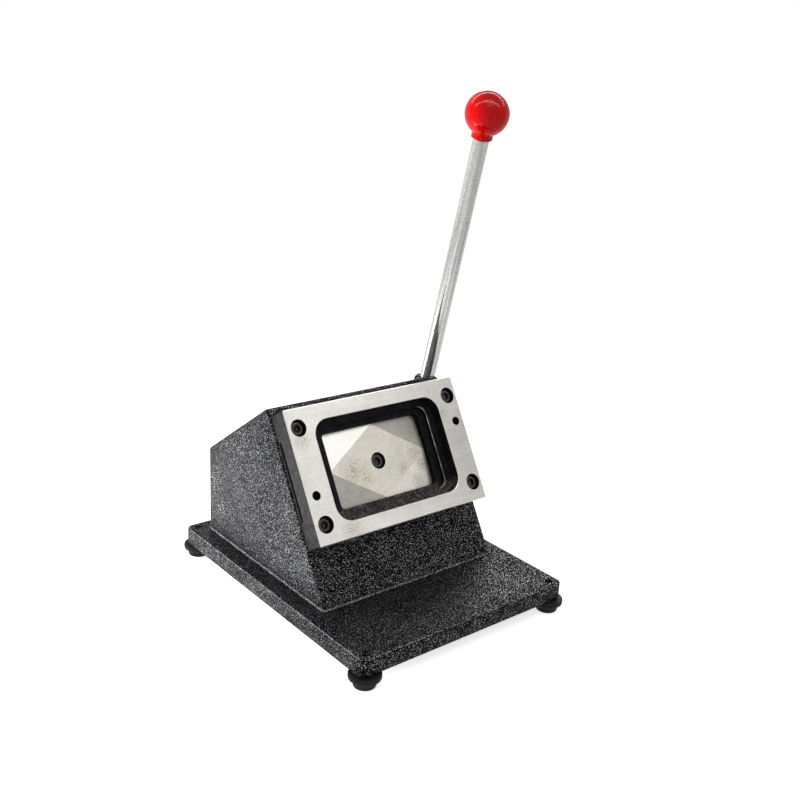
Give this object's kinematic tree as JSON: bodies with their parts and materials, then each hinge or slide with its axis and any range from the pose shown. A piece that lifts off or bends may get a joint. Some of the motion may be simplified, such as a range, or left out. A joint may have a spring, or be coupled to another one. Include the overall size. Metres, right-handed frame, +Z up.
{
  "type": "card cutter",
  "caption": "Hand press that cuts a rounded card: leaning steel die window with a faceted punch, wedge housing, side lever with ball knob, on a footed base.",
  "frame": {"origin": "on the floor, below the middle of the whole outline with the lever at rest", "axes": "+X across the cutter towards the lever, +Y from the die to the back, +Z up"},
  "size_m": [0.1984, 0.236, 0.356],
  "materials": {
    "hammertone": "glossy black hammertone paint with a fine silver vein",
    "ground_steel": "surface ground",
    "machined_steel": "machined",
    "black_oxide": "black oxide",
    "plated": "bright plated",
    "spring_steel": "oil tempered wire",
    "bronze": "sintered bronze",
    "brass": "machined",
    "red_plastic": "moulded, glossy",
    "black_rubber": "moulded, matt"
  },
  "bodies": {
    "frame": {"base_plate": "hammertone", "housing_shell": "hammertone", "guide_plate": "ground_steel", "die_plate": "ground_steel", "slot_spacer_bottom": "machined_steel", "slot_spacer_top": "machined_steel", "lever_stop_pin": "machined_steel", "dowel_pin_left": "machined_steel", "dowel_pin_right": "machined_steel", "guide_bolt_left": "machined_steel", "guide_bolt_right": "machined_steel", "foot_screw_front_left": "machined_steel", "foot_screw_front_right": "machined_steel", "foot_screw_rear_left": "machined_steel", "foot_screw_rear_right": "machined_steel", "die_screw_lower_left": "black_oxide", "die_screw_lower_right": "black_oxide", "die_screw_upper_left": "black_oxide", "die_screw_upper_right": "black_oxide", "housing_bolt_front_left": "black_oxide", "housing_bolt_front_right": "black_oxide", "housing_bolt_rear_left": "black_oxide", "housing_bolt_rear_right": "black_oxide", "return_spring_left": "spring_steel", "return_spring_right": "spring_steel", "shaft_bush_left": "bronze", "shaft_bush_right": "bronze", "foot_front_left": "black_rubber", "foot_front_right": "black_rubber", "foot_rear_left": "black_rubber", "foot_rear_right": "black_rubber"},
    "ram": {"punch": "ground_steel", "punch_screw": "black_oxide", "ram": "machined_steel", "follower_pad": "ground_steel", "ram_bush_left": "bronze", "ram_bush_right": "bronze"},
    "lever": {"cross_shaft": "machined_steel", "cam": "ground_steel", "cam_key": "machined_steel", "shaft_collar": "machined_steel", "collar_set_screw": "black_oxide", "lever_arm": "hammertone", "lever_set_screw": "black_oxide", "end_washer": "machined_steel", "end_screw": "black_oxide", "lever_rod": "plated", "ball_knob": "red_plastic", "knob_insert": "brass"}
  },
  "joints": [
    {"name": "lever_swing", "type": "hinge", "parent": "frame", "child": "lever", "pos_m": [0.08317, 0.06174, 0.05798], "axis": [1, 0, 0], "range_deg": [0, 75], "stiffness_Nm_per_rad": 0.56, "springref_deg": -102.56},
    {"name": "punch_slide", "type": "slide", "parent": "frame", "child": "ram", "axis": [0, -0.8572, 0.515], "range_m": [0, 0.00655], "deforming": ["return_spring_left", "return_spring_right"]}
  ],
  "couplings": [
    {"joint": "punch_slide", "follows": "lever_swing", "m_per_rad": 0.005}
  ]
}
